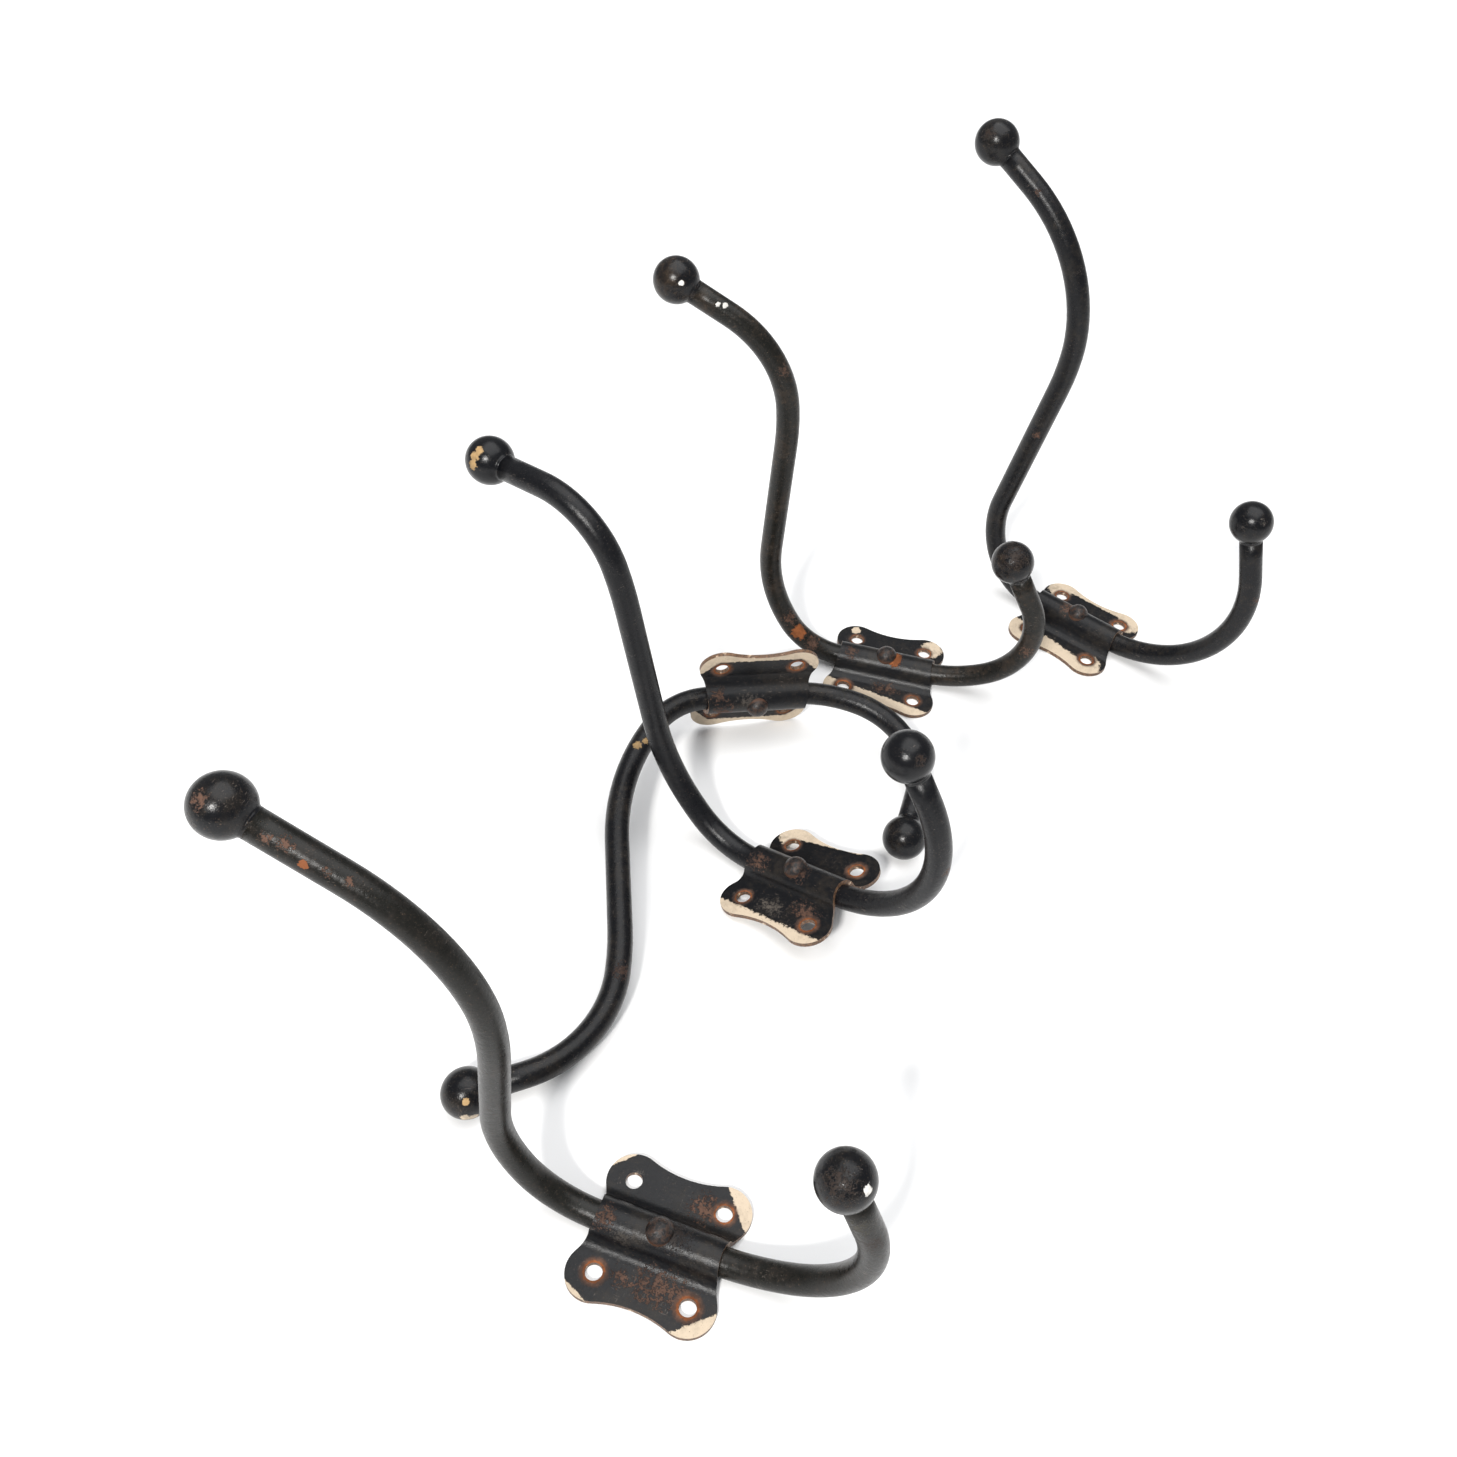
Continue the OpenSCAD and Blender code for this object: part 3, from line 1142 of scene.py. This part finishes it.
def hook_three() -> Hook:
    """The hook that leans over hook 4."""
    patches = (
        Patch(Wear.GREY, (12.5, 1.5, 2.5), (3.0, 3, 6.0), 1.3, 0.6, 0.9),
        Patch(Wear.CREAM, (-17.0, 1.5, 16.5), (4.2, 3, 4.5), 0.4, 0.35),
        Patch(Wear.BROWN, (3.5, 8.5, 13.5), (3.5, 3, 4.5), 1.0, 0.5, 0.9),
        Patch(Wear.BROWN, (2.0, 10.0, -3.0), (4.5, 3, 3.5), 0.9, 0.5),
        Patch(Wear.BROWN, (9.5, 1.8, -9.0), (3, 3, 5), 1.1, 0.5, 0.9),
    )
    borders = (
        Border(Wear.CREAM, (1, 0), 17.2, (18, 0), 28, 1.9),
        Border(Wear.CREAM, (-1, 0.15), 18.4, (-18, 4), 15, 0.8),
    )
    spots = (
        BarSpot(Wear.TAN, UP, 0, (-0.42, -0.66, 0.62), 1.7, 0.9),
        BarSpot(Wear.TAN, UP, 0, (-0.50, -0.80, 0.30), 1.4, 0.9),
        BarSpot(Wear.TAN, UP, 0, (-0.25, -0.50, 0.83), 1.3, 0.9),
        BarSpot(Wear.UMBER, DOWN, 0, (0.4, -0.7, 0.6), 2.0, 0.9),
        BarSpot(Wear.BROWN, DOWN, 40, (0.6, -0.6, 0.5), 1.8, 1.0, 0.8),
    )
    return Hook(3, upper_arm(59, 62, 46, 27, 74, 22), lower_arm(46, 77, 14),
                lies_at=(-11.2, -26.2, 6.7), turned=(-2, 17, 146),
                plate=plate_finish(3, patches, borders, (0.9, 1.3, 0.7, 1.2)),
                rod=bar_finish(3, BLACK, SOOT, 0.6),
                balls=ball_finish(3, SOOT, 0.6), spots=spots)


def hook_four() -> Hook:
    """The hook that has tipped over, with its plate on edge."""
    patches = (
        Patch(Wear.BROWN, (1.5, 9.0, 12.5), (4.5, 3, 4.5), 1.1, 0.5),
        Patch(Wear.BROWN, (-5.5, 7.0, 14.5), (3.0, 3, 3.0), 1.1, 0.5),
        Patch(Wear.GREY, (-3.5, 8.6, 3.0), (2.2, 3, 5), 1.3, 0.5, 0.5),
    )
    borders = (
        Border(Wear.CREAM, (1, 0), 17.4, (18, 0), 28, 1.1),
        Border(Wear.CREAM, (-1, 0), 17.4, (-18, 0), 28, 1.1),
        Border(Wear.CREAM, (-0.7, 0.7), 22.6, (-13.5, 13.5), 12, 1.0),
        Border(Wear.CREAM, (-0.7, -0.7), 22.6, (-13.5, -13.5), 12, 1.0),
        Border(Wear.CREAM, (0.7, 0.7), 22.6, (13.5, 13.5), 12, 1.0),
        Border(Wear.CREAM, (0.7, -0.7), 22.6, (13.5, -13.5), 12, 1.0),
    )
    spots = (
        BarSpot(Wear.TAN, UP, 0, (0.20, -0.72, 0.66), 1.1, 0.8),
        BarSpot(Wear.CREAM, UP, 0, (0.15, -0.97, -0.10), 1.7, 1.0),
        BarSpot(Wear.CREAM, UP, 0, (0.45, -0.88, -0.15), 1.3, 1.0),
        BarSpot(Wear.TAN, UP, 143, (-0.1, -0.6, 0.8), 1.5, 1.1),
        BarSpot(Wear.TAN, UP, 146, (0.3, -0.6, 0.8), 1.1, 1.1),
        BarSpot(Wear.OLIVE, DOWN, 70, (0.1, 0.5, 0.85), 3.0, 1.2, 0.9),
        BarSpot(Wear.OLIVE, DOWN, 62, (0.1, 0.5, 0.85), 2.8, 1.2, 0.9),
        BarSpot(Wear.BROWN, UP, 60, (0.3, -0.7, 0.7), 3.0, 1.3, 0.6),
    )
    return Hook(4, upper_arm(49, 80, 31, 39, 65, 17), lower_arm(30, 88, 18),
                lies_at=(-33.5, 49.0, 22.3), turned=(-99.8, -4.5, -164.25),
                plate=plate_finish(4, patches, borders, (0.9, 0.9, 1.3, 1.3)),
                rod=bar_finish(4, BLACK, SMOKE, 1.3),
                balls=ball_finish(4, SMOKE, 1.3), spots=spots)


def hook_five() -> Hook:
    """The farthest hook, creamed on every lobe."""
    patches = (
        Patch(Wear.CREAM, (16.0, 1.5, 14.0), (6.5, 3, 5.5), 0.4, 0.35),
        Patch(Wear.CREAM, (15.5, 1.5, -15.0), (5.5, 3, 5.0), 0.5, 0.35),
        Patch(Wear.CREAM, (-16.5, 1.5, 16.0), (5.0, 3, 5.0), 0.4, 0.35),
        Patch(Wear.CREAM, (-16.5, 1.5, -16.0), (5.0, 3, 5.0), 0.4, 0.35),
        Patch(Wear.BROWN, (0.0, 9.6, 4.5), (4.0, 3, 3.0), 0.9, 0.5, 0.8),
    )
    borders = (
        Border(Wear.CREAM, (1, 0.13), 13.2, (18, 0), 28, 2.0),
        Border(Wear.CREAM, (-1, 0), 17.6, (-18, 0), 28, 1.0),
    )
    spots = (
        BarSpot(Wear.UMBER, UP, 0, (-0.5, -0.6, 0.6), 2.6, 0.9),
        BarSpot(Wear.BROWN, UP, 116, (-0.2, -0.9, 0.4), 1.9, 1.1),
        BarSpot(Wear.BROWN, UP, 22, (-0.1, -0.9, 0.4), 1.4, 1.0, 0.8),
        BarSpot(Wear.GREY, DOWN, 0, (0.2, -0.75, 0.62), 1.4, 1.0, 0.7),
        BarSpot(Wear.BROWN, DOWN, 30, (0.5, -0.7, 0.4), 2.0, 1.1, 0.7),
    )
    return Hook(5, upper_arm(66, 38, 58, 58, 63, 18), lower_arm(44, 79, 22),
                lies_at=(92.8, 119.8, 0), turned=(0, 0, 145),
                plate=plate_finish(5, patches, borders, (1.2, 1.3, 1.0, 1.4)),
                rod=bar_finish(5, BLACK, SMOKE, 1.0),
                balls=ball_finish(5, SMOKE, 1.0), spots=spots)


class Studio:
    """The floor, the lights and the camera."""

    look_elevation = 46.1
    look_roll = 5.11
    distance = 513.5
    target = (-23.2, 60.32, 0.0)
    lens = 33.67
    shift = (-0.0353, -0.0133)

    def floor(self) -> None:
        """Lays the white surface under the hooks."""
        bm = bmesh.new()
        lowered = Matrix.Translation((0, 0, -0.0002))
        bmesh.ops.create_grid(bm, x_segments=4, y_segments=4, size=6.0, matrix=lowered)
        mesh = bpy.data.meshes.new("floor")
        bm.to_mesh(mesh)
        bm.free()
        obj = bpy.data.objects.new("floor", mesh)
        mesh.materials.append(floor_material())
        bpy.context.scene.collection.objects.link(obj)

    def light(self, name: str, at: Spot3, size: float, watts: float, tone: Colour = (1, 1, 1)) -> None:
        """Hangs one soft square light that faces the hooks.

        Args:
            name: The light's name.
            at: Its place, in metres.
            size: The length of its side, in metres.
            watts: Its power.
            tone: Its colour.
        """
        data = bpy.data.lights.new(name, "AREA")
        data.shape, data.size, data.energy, data.color = "SQUARE", size, watts, tone
        lamp = bpy.data.objects.new(name, data)
        lamp.location = at
        lamp.rotation_euler = (Vector((0, 0, 0.05)) - Vector(at)).to_track_quat("-Z", "Y").to_euler()
        bpy.context.scene.collection.objects.link(lamp)

    def lights(self) -> None:
        """Sets the soft key by the camera, the overhead fill and the pale surroundings."""
        self.light("key", (-0.42, -1.35, 1.35), 0.22, 34.0, (1.0, 0.985, 0.96))
        self.light("overhead", (0.15, 0.25, 2.2), 2.4, 50.0)
        world = bpy.data.worlds.new("pale")
        world.use_nodes = True
        world.node_tree.nodes["Background"].inputs[0].default_value = (0.95, 0.97, 1.0, 1.0)
        world.node_tree.nodes["Background"].inputs[1].default_value = 0.36
        bpy.context.scene.world = world
        bpy.context.scene.view_settings.view_transform = "Standard"

    def camera(self) -> None:
        """Sets the camera above and in front of the hooks."""
        e, r = math.radians(self.look_elevation), math.radians(self.look_roll)
        ahead = Vector((0, math.cos(e), -math.sin(e)))
        right = Vector((1, 0, 0))
        down = ahead.cross(right)
        across = right * math.cos(r) - down * math.sin(r)
        lowered = right * math.sin(r) + down * math.cos(r)
        data = bpy.data.cameras.new("camera")
        data.sensor_width, data.lens = 36.0, self.lens
        data.shift_x, data.shift_y = self.shift
        data.clip_start, data.clip_end = 0.02, 50.0
        obj = bpy.data.objects.new("camera", data)
        turn = Matrix((across, -lowered, -ahead)).transposed().to_4x4()
        spot = (Vector(self.target) - ahead * self.distance) * MM
        obj.matrix_world = Matrix.Translation(spot) @ turn
        bpy.context.scene.collection.objects.link(obj)
        bpy.context.scene.camera = obj


def main() -> None:
    """Builds the hooks, the floor, the lights and the camera."""
    logging.basicConfig(level=logging.INFO, format="%(name)s: %(message)s")
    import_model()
    rods, balls, rivets, plates = RodMaker(), BallMaker(), RivetMaker(), PlateMaker()
    rim, dome = rim_material(), rivet_material()
    for hook in (hook_one(), hook_two(), hook_three(), hook_four(), hook_five()):
        bar = EnamelMixer(replace(hook.rod, patches=hook.spot_patches(False))).mix()
        ball = EnamelMixer(replace(hook.balls, patches=hook.spot_patches(True))).mix()
        finish_piece(rods.build(hook), hook, Piece.ROD, [bar])
        plate = finish_piece(plates.build(), hook, Piece.PLATE, [EnamelMixer(hook.plate).mix(), rim])
        plate.modifiers.new("even shading", "WEIGHTED_NORMAL").keep_sharp = False
        finish_piece(rivets.build(), hook, Piece.RIVET, [dome])
        finish_piece(balls.build(hook, Arm.UPPER), hook, Piece.UPPER_BALL, [ball])
        finish_piece(balls.build(hook, Arm.LOWER), hook, Piece.LOWER_BALL, [ball])
    studio = Studio()
    studio.floor()
    studio.lights()
    studio.camera()


if __name__ == "__main__":
    main()
